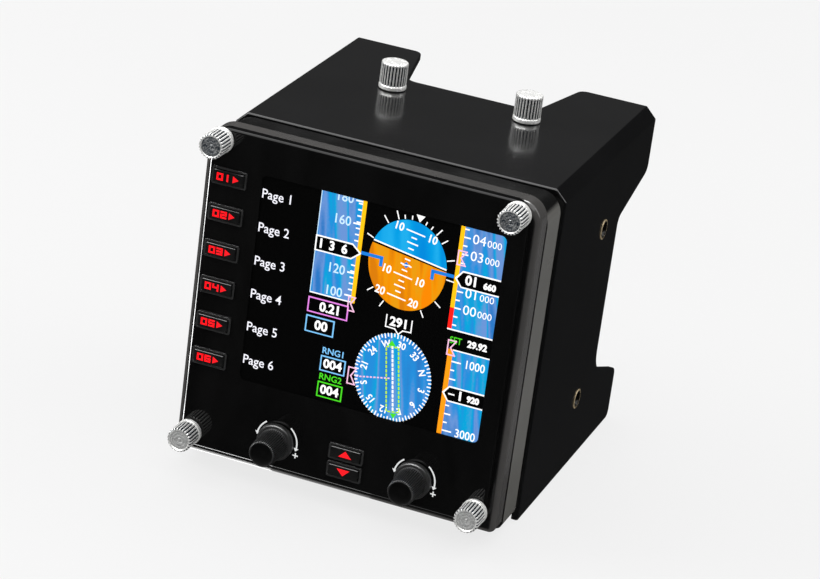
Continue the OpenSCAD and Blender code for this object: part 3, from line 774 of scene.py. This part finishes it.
def side_inserts():
    """Brass inserts with a rounded rim and turns of thread inside the hole."""
    for side, node in ((-1, "side_inserts_left"), (1, "side_inserts_right")):
        low, high = low_high(node)
        rim = (high.y - low.y) / 2
        hole = 1.7
        proud = 0.25
        length = high.x - low.x - proud
        pitch = 0.7
        for level, z in (("low", low.z + rim), ("high", high.z - rim)):
            stations = [(-length, hole + 0.1, 0), (-length, rim - 0.5, 0), (0, rim - 0.5, 0),
                        (0, rim - 0.1, 0), (0.1, rim, 0), (proud - 0.08, rim - 0.03, 0),
                        (proud, rim - 0.2, 0), (proud, rim - 0.85, 0), (proud - 0.3, 2.05, 0)]
            for k in range(int((length - 0.2) / pitch)):
                z0 = -0.25 - k * pitch
                stations += [(z0, hole + 0.3, 0), (z0 - pitch / 2, hole, 0)]
            stations.append(stations[0])
            # The hole's chamfer and threads get painted shade.
            mesh = turned(stations, dish_radius=2.2, dish_depth=length, painted_shade_in_dish=0.8)
            outer = side * (abs((low.x, high.x)[side > 0]) - proud)
            place = Matrix.Translation(at(outer, (low.y + high.y) / 2, z)) @ \
                Matrix.Rotation(side * math.pi / 2, 4, "Y")
            finished(f"{node}_{level}_threaded", mesh, "brass",
                     stands_for=(node,), smooth=50, place=place)


# ---- flat artwork: screen image, legends and marks ----

LAYER_STEP = 0.045


class Artwork:
    """Collects thin closed shapes on the plate or screen, one piece for each colour and layer."""

    def __init__(self, origin, body, slot, prefix, front, thickness=0.02):
        self.origin = origin
        self.body = body
        self.slot = slot
        self.prefix = prefix
        self.front = front
        self.thickness = thickness
        self.layers = {}

    def depths(self, layer):
        back = self.front - layer * LAYER_STEP
        return back - self.thickness, back

    def sheet(self, look, layer):
        return self.layers.setdefault((look, layer), bmesh.new())

    def polygon(self, look, layer, points):
        """A filled outline; points are (u, v) from the artwork's origin."""
        bm = self.sheet(look, layer)
        near, far = self.depths(layer)
        prism(bm, [(self.origin[0] + u, self.origin[1] + v) for u, v in points], near, far)

    def block(self, look, layer, left, right, top, bottom):
        self.polygon(look, layer, [(left, bottom), (right, bottom), (right, top), (left, top)])

    def line(self, look, layer, start, end, width):
        along = Vector((end[0] - start[0], end[1] - start[1])).normalized()
        side = Vector((-along.y, along.x)) * width / 2
        self.polygon(look, layer, [(point[0] + way * side.x, point[1] + way * side.y)
                                   for point, way in ((start, 1), (start, -1), (end, -1), (end, 1))])

    def path(self, look, layer, points, width, closed=False):
        """A line through several points, as butting strokes with a small square at each corner."""
        for start, end in zip(points, points[1:] + points[:closed]):
            along = Vector((end[0] - start[0], end[1] - start[1])).normalized() * width / 2
            self.line(look, layer, (start[0] - along.x, start[1] - along.y),
                      (end[0] + along.x, end[1] + along.y), width)

    def band(self, look, layer, radius, width, start, end, steps=24):
        """Part of a ring round the origin, from one angle to another in degrees."""
        angles = [math.radians(start + (end - start) * i / steps) for i in range(steps + 1)]
        outer = [polar((0, 0), radius + width / 2, a) for a in angles]
        inner = [polar((0, 0), radius - width / 2, a) for a in angles]
        self.polygon(look, layer, outer + inner[::-1])

    def dashes(self, look, start, end, count, share, width):
        """A dashed line on layer 2; each dash fills a share of its step."""
        a, b = Vector(start), Vector(end)
        for k in range(count):
            self.line(look, 2, a.lerp(b, k / count)[:], a.lerp(b, (k + share) / count)[:], width)

    def tick(self, left, right, v, half=0.2):
        """A level white mark on layer 1."""
        self.block("lit_white", 1, left, right, v + half, v - half)

    def words(self, look, layer, text, place, height, turn=0.0, bold=0.0, squeeze=1.0, left=False,
              clip=None):
        """Sans-serif text, centred or from its left end, turned by degrees; clip is the highest v."""
        curve = bpy.data.curves.new("words", "FONT")
        curve.body = text
        curve.size = height / 0.72
        curve.align_x = "LEFT" if left else "CENTER"
        curve.align_y = "CENTER"
        curve.offset = bold
        curve.extrude = self.thickness / 2
        curve.resolution_u = 3
        mesh = evaluated(shown("words", curve))
        near, far = self.depths(layer)
        mesh.transform(Matrix.Translation((self.origin[0] + place[0], FACE + (near + far) / 2,
                                           self.origin[1] + place[1]))
                       @ Matrix.Rotation(math.pi / 2, 4, "X") @ Matrix.Rotation(math.radians(turn), 4, "Z")
                       @ Matrix.Diagonal((squeeze, 1, 1, 1)))
        if clip is not None:
            part = bmesh.new()
            part.from_mesh(mesh)
            bmesh.ops.remove_doubles(part, verts=part.verts, dist=1e-5)
            bmesh.ops.bisect_plane(part, geom=part.verts[:] + part.edges[:] + part.faces[:],
                                   plane_co=(0, 0, self.origin[1] + clip), plane_no=(0, 0, 1),
                                   clear_outer=True)
            bmesh.ops.holes_fill(part, edges=[e for e in part.edges if e.is_boundary], sides=0)
            part.to_mesh(mesh)
            part.free()
        self.sheet(look, layer).from_mesh(mesh)
        bpy.data.meshes.remove(mesh)

    def figure(self, text, place, height, squeeze=1.0):
        """A bold white figure on layer 4, in a read-out window."""
        self.words("lit_white", 4, text, place, height, bold=0.13, squeeze=squeeze)

    def finish(self):
        for (look, layer), bm in self.layers.items():
            finished(f"{self.prefix}_{look}_{layer}", mesh_of(bm), look, self.body, smooth=30)


def pointer_box(art, tip, shoulder, far, top, bottom, open_end=False):
    """A pointer window: an arrow-ended white outline with a dark field inside it."""
    line = 0.42
    outline = [tip, (shoulder, top), (far, top), (far, bottom), (shoulder, bottom)]
    art.polygon("lit_white", 2, outline)
    inward = 1 if shoulder > tip[0] else -1
    end = far + inward * line if open_end else far - inward * line
    neck = shoulder + inward * line * 0.3
    art.polygon("lit_black", 3, [(tip[0] + inward * line * 1.5, tip[1]), (neck, top - line),
                                 (end, top - line), (end, bottom + line), (neck, bottom + line)])


def frame_box(art, look, layer, left, right, top, bottom):
    """A rectangle drawn as a line, with a dark field."""
    line = 0.4
    art.block(look, layer, left, right, top, bottom)
    art.block("lit_black", layer + 1, left + line, right - line, top - line, bottom + line)


def menu(art):
    """Six generic page names in a column beside the selector keys."""
    row_pitch = 9.76
    for row in range(6):
        art.words("lit_menu", 1, f"Page {row + 1}", (-34.9, 24.8 - row_pitch * row), 2.75, bold=0.02,
                  squeeze=0.93, left=True)


def speed_tape(art):
    left, right, top, bottom = -17.9, -4.8, 30.05, 0.4
    strip = 1.15
    art.block("tape_blue", 0, left, right - strip, top, bottom)
    art.block("lit_yellow", 0, right - strip, right, top, bottom)
    art.block("lit_pale", 1, left, left + 0.22, top, bottom)
    art.block("lit_white", 1, left, right - strip, bottom + 0.35, bottom)
    per_20 = 7.1
    for value, v in ((180, 29.6), (160, 23.1), (120, 8.9), (100, 2.3)):
        art.words("lit_pale", 1, str(value), (-11.2, v), 2.75, bold=0.04, squeeze=0.92,
                  clip=top if v > top - 2 else None)
        art.tick(right - strip - 2.0, right - strip, v, 0.22)
    for k in range(int((top - bottom) / (per_20 / 4)) + 1):
        v = 2.3 + k * per_20 / 4
        if v < top - 0.3 and abs(v - 15) > 2.6:
            art.tick(right - strip - 1.15, right - strip, v)
    pointer_box(art, (-4.6, 15.0), -7.3, -18.0, 17.3, 12.7)
    for u, digit in ((-16.3, "1"), (-13.1, "3"), (-9.5, "6")):
        art.figure(digit, (u, 15), 2.6, 0.95)
    bow_tie(art, (-5.6, 0.1), 0.95, 2.0)
    frame_box(art, "lit_magenta", 2, -18.0, -6.2, -0.7, -5.2)
    art.figure("0.21", (-11.4, -3.0), 2.6)
    frame_box(art, "lit_cyan", 2, -18.0, -9.6, -6.1, -11.0)
    art.figure("00", (-13.4, -8.6), 2.7)


def bow_tie(art, centre, w, h):
    """A bug: an upright bar with two wedges that meet in a notch on its open side."""
    u, v = centre
    art.path("lit_pink", 2, [(u - w, v + h), (u + w, v + h), (u - w * 0.25, v), (u + w, v - h),
                             (u - w, v - h)], 0.36, closed=True)


BALL = (8.6, 15.05)
BALL_HALF = (11.1, 12.85)
HORIZON = math.radians(-9)


def on_ellipse(centre, half, degrees, share=1.0):
    """A point at a bearing, clockwise from the top, on an ellipse."""
    a = math.radians(degrees)
    return (centre[0] + half[0] * share * math.sin(a), centre[1] + half[1] * share * math.cos(a))


def attitude(art):
    """The ball: sky above a tilted horizon, ground below, a pitch ladder and bank marks."""
    along = Vector((math.cos(HORIZON), math.sin(HORIZON)))
    across = Vector((-along.y, along.x))
    level = 18.3 - BALL[1]
    rim = [Vector(on_ellipse((0, 0), BALL_HALF, 360 * i / 96)) for i in range(96)]
    sky = [p for p in rim if (p - Vector((0, level))).dot(across) >= 0]
    ground = [p for p in rim if p not in sky]

    def ordered(points):
        centre = sum(points, Vector((0, 0))) / len(points)
        return [(BALL[0] + p.x, BALL[1] + p.y)
                for p in sorted(points, key=lambda p: math.atan2(p.y - centre.y, p.x - centre.x))]

    art.polygon("sky_blue", 0, ordered(sky))
    art.polygon("ground_orange", 0, ordered(ground))
    art.line("lit_white", 1, (-1.6, 19.95), (19.6, 16.55), 0.42)

    zero = Vector((8.75, 18.3))
    for k in [*range(-7, 0), *range(1, 5), -8]:
        half = {0: 2.75, 2: 1.6}.get(k % 4, 0.8)
        centre = zero + across * (k * 6.5 / 4)
        art.line("lit_white", 1, (centre - along * half)[:], (centre + along * half)[:], 0.38)
    tilt = math.degrees(HORIZON)
    for distance, text in ((6.5, "10"), (-6.5, "10"), (-13, "20")):
        for side in (-1, 1):
            place = zero + across * distance + along * side * 4.9
            art.words("lit_white", 1, text, place[:], 2.3, turn=tilt, bold=0.07, squeeze=0.9)
    art.polygon("lit_wing", 2, [(8.3, 14.2), (9.2, 15.1), (8.3, 16.0), (7.4, 15.1)])
    art.line("lit_white", 3, (7.3, 15.0), (9.4, 15.2), 0.3)
    for bearing, reach in ((-10, 1.1), (-20, 1.1), (-29, 2.4), (-45, 2.3), (-66, 2.1), (-90, 2.1),
                           (-130, 2.1), (-152, 2.1), (152, 2.1), (128, 2.2), (95, 2.2), (72, 2.2),
                           (50, 2.1), (29, 2.4), (19, 1.1), (10, 1.1)):
        place = bearing + 8.5 if abs(bearing) < 46 else bearing
        start = on_ellipse(BALL, BALL_HALF, place, 1.02)
        end = on_ellipse(BALL, (BALL_HALF[0] + reach, BALL_HALF[1] + reach), place, 1.02)
        art.line("lit_white", 1, start, end, 0.32)
    art.polygon("lit_white", 1, [(9.3, 29.95), (11.8, 29.85), (10.45, 27.9)])
    for side, start, bend in ((-1, (-4.7, 15.35), 1.2), (1, (21.9, 15.35), 15.9)):
        art.line("lit_wing", 2, start, (bend - side * 0.5, 15.35), 0.95)
        art.line("lit_wing", 2, (bend, 15.35), (bend, 12.9), 0.95)


def altitude_tape(art):
    left, right, top = 22.0, 34.95, 30.0
    strip = 1.2
    change, bottom = 6.6, 0.25
    art.block("tape_blue", 0, left + strip, right, top, bottom)
    art.block("lit_yellow", 0, left, left + strip, top, change)
    art.block("lit_red", 0, left, left + strip, change, bottom)
    art.block("lit_white", 1, left, right, bottom + 0.35, bottom - 0.05)
    rows = ((27.0, "04"), (22.2, "03"), (11.5, "01"), (6.7, "00"))
    for v, text in rows:
        art.words("lit_white", 1, text, (27.5, v), 2.8)
        art.words("lit_white", 1, "000", (31.8, v - 0.3), 2.0)
        art.tick(left + strip, 25.0, v)
    for v in (29.3, 24.6, 19.6, 9.0, 4.2, 1.8):
        art.tick(left + strip, 24.4, v)
    pointer_box(art, (22.2, 15.1), 24.2, 35.0, 17.6, 12.7, open_end=True)
    art.figure("01", (27.0, 15.2), 2.75, 0.95)
    art.figure("660", (32.1, 14.8), 1.75, 0.95)
    bow_tie(art, (23.4, 21.0), 1.15, 2.0)


def setting_row(art):
    art.words("lit_green", 1, "SET", (24.9, -2.6), 2.0, bold=0.02, squeeze=0.8)
    art.words("lit_white", 1, "29.92", (31.0, -2.6), 1.9, bold=0.12, squeeze=0.95)


def lower_tape(art):
    left, right, top, bottom = 23.1, 34.95, -5.2, -30.1
    strip = 1.4
    art.block("tape_blue", 0, left + strip, right, top, bottom)
    art.block("lit_orange", 0, left, left + strip, top, bottom)
    art.block("lit_white", 1, left + strip, right, top + 0.1, top - 0.25)
    for v, text in ((-8.6, "1000"), (-28.9, "3000")):
        art.words("lit_white", 1, text, (31.1, v), 2.5, bold=0.03, squeeze=0.86)
        art.tick(26.0, 27.2, v)
    for v, length in ((-8.6, 2.2), (-11.1, 1.1), (-13.7, 1.8), (-21.5, 1.1), (-24.0, 1.8),
                      (-26.5, 1.1), (-28.9, 1.6)):
        art.tick(left + strip, left + strip + length, v)
    pointer_box(art, (23.1, -17.9), 24.9, 35.0, -15.7, -20.3, open_end=True)
    art.block("lit_white", 4, 24.9, 26.7, -17.75, -18.15)
    art.figure("1", (28.3, -18), 2.6)
    art.figure("920", (32.0, -18.2), 1.75, 0.95)
    bow_tie(art, (24.0, -4.8), 1.1, 2.1)


ROSE = (8.7, -17.8)
ROSE_HALF = (11.0, 12.75)


def rose(art):
    """The compass rose with dotted rim, letters, course needle and deviation bar."""
    art.polygon("rose_blue", 0, [on_ellipse(ROSE, ROSE_HALF, -360 * i / 96) for i in range(96)])
    for k in range(72):
        reach = 0.93 if k % 2 else 0.90
        art.line("lit_white", 1, on_ellipse(ROSE, ROSE_HALF, 5 * k, 1.01),
                 on_ellipse(ROSE, ROSE_HALF, 5 * k, reach), 0.34)
    heading = 291
    for text, bearing in (("N", 0), ("3", 30), ("6", 60), ("E", 90), ("12", 120), ("15", 150), ("S", 180),
                          ("21", 210), ("24", 240), ("W", 270), ("30", 300), ("33", 330)):
        turn = bearing - heading
        art.words("lit_white", 1, text, on_ellipse(ROSE, ROSE_HALF, turn, 0.77), 1.95, turn=-turn, bold=0.06,
                  squeeze=0.9)
    corners = [(5.8, -9.3), (9.3, -8.8), (11.8, -27.4), (8.2, -27.9)]
    for start, end, count in zip(corners, corners[1:] + corners[:1], (3, 15, 3, 15)):
        art.dashes("lit_lime", start, end, count, 0.72, 0.42)
    art.dashes("lit_white", (7.5, -8.6), (10.05, -27.6), 15, 0.75, 0.5)
    art.polygon("lit_green", 3, [(6.2, -8.9), (8.5, -8.6), (7.2, -7.1)])
    art.polygon("lit_green", 3, [(9.3, -28.2), (11.2, -27.9), (10.4, -29.5)])
    art.dashes("lit_pink", (-1.7, -20.15), (8.3, -18.1), 10, 0.62, 0.4)
    bow_tie(art, (-2.9, -20.4), 1.1, 2.4)
    art.path("lit_white", 2, [(4.8, -0.2), (4.8, -3.6), (7.5, -3.7), (8.6, -5.0), (9.8, -3.7), (12.1, -3.6),
                              (12.1, -0.2)], 0.32)
    art.words("lit_white", 2, "291", (8.5, -1.8), 2.6, bold=0.12)


def range_boxes(art):
    """Two small read-outs with generic captions."""
    for look, caption, top in (("lit_cyan", "RNG1", -16.7), ("lit_green", "RNG2", -24.4)):
        art.words(look, 1, caption, (-8.9, top + 1.4), 1.85, bold=0.04)
        frame_box(art, look, 1, -12.4, -5.0, top, top - 4.6)
        art.words("lit_white", 3, "004", (-8.7, top - 2.3), 2.6, bold=0.12)


def screen_image():
    """Everything lit on the display, in thin layers in the lens's shallow recess."""
    lens = middle("display_lens")
    front = low_high("display_lens")[0].y
    art = Artwork((lens.x, lens.z), "unit", "display_image", "screen", front - 0.01)
    for part in (menu, speed_tape, attitude, altitude_tape, setting_row, lower_tape, rose, range_boxes):
        part(art)
    art.finish()


SEGMENTS = {"0": "abcdef", "1": "i", "2": "abged", "3": "abgcd", "4": "fgbc", "5": "afgcd",
            "6": "afgedc"}


def block_digit(art, digit, u):
    """A broad figure built from straight strokes."""
    line = 0.52
    w, h = 0.95 - line / 2, 1.05 - line / 2
    strokes = {"a": ((-w, h), (w, h)), "b": ((w, h), (w, 0)), "c": ((w, 0), (w, -h)),
               "d": ((-w, -h), (w, -h)), "e": ((-w, 0), (-w, -h)), "f": ((-w, h), (-w, 0)),
               "g": ((-w, 0), (w, 0)), "i": ((0, -h), (0, h))}
    for key in SEGMENTS[digit]:
        (u0, v0), (u1, v1) = strokes[key]
        art.path("legend_red", 0, [(u + u0, v0), (u + u1, v1)], line)


def on_key(node):
    """Artwork on a key's cap."""
    return Artwork(front_view(node)[:2], BODY_OF[node], "legend_red", node + "_legend",
                   low_high(node)[0].y, thickness=0.03)


def key_legends():
    """Red figures and pointers on the key caps; each rides with its key."""
    for i, node in enumerate(KEYS):
        art = on_key(node)
        block_digit(art, "0", -2.45)
        block_digit(art, str(i + 1), -0.2)
        art.polygon("legend_red", 0, [(1.35, 1.0), (1.35, -1.0), (3.05, 0)])
        art.finish()
    for node, way in zip(STEP_KEYS, (1, -1)):
        art = on_key(node)
        points = [(-1.9, -0.9 * way), (1.9, -0.9 * way), (0, 1.05 * way)]
        art.polygon("legend_red", 0, points if way > 0 else points[::-1])
        art.finish()


def knob_marks():
    """White turning arrows and a plus sign printed on the plate round each knob."""
    for node in KNOBS:
        centre = middle(node)
        art = Artwork((centre.x, centre.z), "unit", "legend_white", node + "_marks", 0.0)
        reach = 6.0
        line = 0.42
        for start, end, way in ((126, 168, 1), (52, -8, -1)):
            art.band("legend_white", 0, reach, line, min(start, end), max(start, end))
            base, tip = math.radians(end), math.radians(end + way * 9)
            head = [polar((0, 0), reach + 0.75, base), polar((0, 0), reach - 0.75, base),
                    polar((0, 0), reach, tip)]
            art.polygon("legend_white", 0, head[::way])
        u, v = 5.9, -3.0
        for stroke in (((u - 0.8, v), (u + 0.8, v)), ((u, v - 0.8), (u, v - 0.18)),
                       ((u, v + 0.18), (u, v + 0.8))):
            art.line("legend_white", 0, *stroke, 0.36)
        art.finish()


# ---- the rest of the CAD nodes ----

SOFT_EDGES = {
    "rear_cover": 0.6, "usb_socket": 0.1, "bracket_screws": 0.15, "cover_screws": 0.15,
    "shell_screws": 0.12, "top_nuts": 0.2,
}


def carried_over():
    """Every other CAD node gets its material; a few that show get softer edges."""
    slots = {part["node"]: part["material_slot"] for part in frame["record"]["subparts"]}
    for node, width in SOFT_EDGES.items():
        softened(node, slots[node], width, 2)
    for node, piece in frame["nodes"].items():
        piece.data.materials.clear()
        piece.data.materials.append(looks[slots[node]].material)


# ---- stage, light and camera ----

def stage():
    """A wide pale floor that the object stands on."""
    bm = bmesh.new()
    bmesh.ops.create_grid(bm, x_segments=8, y_segments=8, size=4)
    floor = shown("floor", as_mesh(bm, "floor"))
    floor.location = (0, 0, -0.0002)
    look = Look("floor_paper", grey(0.10), 0.9, ior=1.1)
    look.colours(look.noise(400, detail=2), grey(0.095), grey(0.105))
    look.shader.inputs["Emission Color"].default_value = (0.97, 0.97, 0.97, 1)
    look.shader.inputs["Emission Strength"].default_value = 0.81
    floor.data.materials.append(look.material)
    floor.visible_glossy = False


def softbox(name, place, target, width, height, power, diffuse=True, only_on=None):
    """A rectangular lamp that the camera doesn't see; only_on limits it to some pieces."""
    light = bpy.data.lights.new(name, "AREA")
    light.shape = "RECTANGLE"
    light.size = width
    light.size_y = height
    light.energy = power
    lamp = shown(name, light)
    lamp.location = place
    lamp.rotation_euler = (Vector(target) - Vector(place)).to_track_quat("-Z", "Y").to_euler()
    lamp.visible_camera = False
    lamp.visible_diffuse = diffuse
    if only_on:
        lamp.light_linking.receiver_collection = only_on


def lights():
    world = bpy.data.worlds.new("studio")
    world.use_nodes = True
    backdrop = world.node_tree.nodes["Background"]
    backdrop.inputs["Color"].default_value = (0.98, 0.99, 1.0, 1)
    backdrop.inputs["Strength"].default_value = 0.02
    bpy.context.scene.world = world
    softbox("overhead", (0, 0.1, 1.6), (0, 0.1, 0), 3.2, 3.2, 62)
    softbox("left_panel", (-0.7, -0.25, 0.5), (0, 0, 0.06), 0.5, 0.7, 3.5)
    softbox("right_panel", (0.9, 0.3, 0.6), (0, 0, 0.05), 0.4, 0.6, 2.0)
    dark = ("front_plate", "bracket_shaped")
    matt = lit_group("matt_pieces", [o.name for o in bpy.data.objects
                                     if o.type == "MESH" and o.name not in dark])
    softbox("top_strip", (-0.36, 0.5, 1.2), (0, -0.03, 0.08), 1.5, 0.7, 44, False, matt)
    softbox("back_panel", (-1.3, 2.7, 1.2), (0, 0, 0.1), 2.4, 1.4, 0.65, False,
            lit_group("bracket_only", ["bracket_shaped"]))
    card("side_card", 0.06, 0.40, 0.0, 0.40, 0.09,
         lit_group("shells", ["front_shell_shaped", "rear_shell_shaped"]))
    raised = ("selector_key", "step_key", "knob", "corner_screw", "top_screw")
    small = lit_group("small_parts", [o.name for o in bpy.data.objects if o.name.startswith(raised)])
    softbox("front_panel", (-0.31, -0.46, 1.0), (0, -0.05, 0.06), 1.4, 0.6, 30, False, small)
    behind_face = (FACE + 0.2) * MM
    plate = lit_group("plate_edge", ["front_plate"])
    for name, near, far, spread in (("a", 0.052, 0.09, 0.014), ("b", 0.09, 0.18, 0.04),
                                    ("c", 0.18, 0.40, 0.10)):
        card("left_card_" + name, -far, -near, behind_face, behind_face + 2 * spread, 12, plate)
    front_edges = lit_group("front_edges", ["front_plate", "front_shell_shaped"])
    for name, left, right, radiance in (("a", -0.05, -0.02, 5), ("b", -0.02, 0.01, 1.1),
                                        ("c", 0.01, 0.035, 0.3)):
        card("low_card_" + name, left, right, behind_face, -0.02, radiance, front_edges)


def lit_group(name, pieces):
    """A collection of the pieces that one light may fall on."""
    group = bpy.data.collections.new(name)
    for piece in pieces:
        group.objects.link(bpy.data.objects[piece])
    return group


def card(name, left, right, front, back, radiance, only_on):
    """A bright card lying on the floor that only glossy edges see."""
    width, depth = right - left, back - front
    place = ((left + right) / 2, (front + back) / 2, 0.0005)
    above = (place[0], place[1], 1)
    softbox(name, place, above, width, depth, radiance * math.pi * width * depth, False, only_on)


def camera():
    """A long lens at the front right and above, a little rolled."""
    azimuth, elevation, roll = (math.radians(a) for a in (17.834, 22.171, 7.740))
    back = Vector((math.sin(azimuth) * math.cos(elevation),
                   -math.cos(azimuth) * math.cos(elevation), math.sin(elevation)))
    level = Vector((math.cos(azimuth), math.sin(azimuth), 0))
    right = level * math.cos(roll) + back.cross(level) * math.sin(roll)
    up = back.cross(right)
    lens = bpy.data.cameras.new("camera")
    lens.lens = 142.81
    lens.sensor_width = 36
    lens.clip_start = 0.05
    lens.clip_end = 20
    eye = shown("camera", lens)
    place = Matrix((right, up, back)).transposed().to_4x4()
    place.translation = at(261.6, -764.2, 396.6)
    eye.matrix_world = place
    bpy.context.scene.camera = eye
    bpy.context.scene.view_settings.view_transform = "Standard"


carried_over()
bracket()
front_plate()
front_housing()
rear_housing()
keys()
knobs()
corner_thumbscrews()
top_thumbscrews()
side_inserts()
screen_image()
key_legends()
knob_marks()
stage()
lights()
camera()
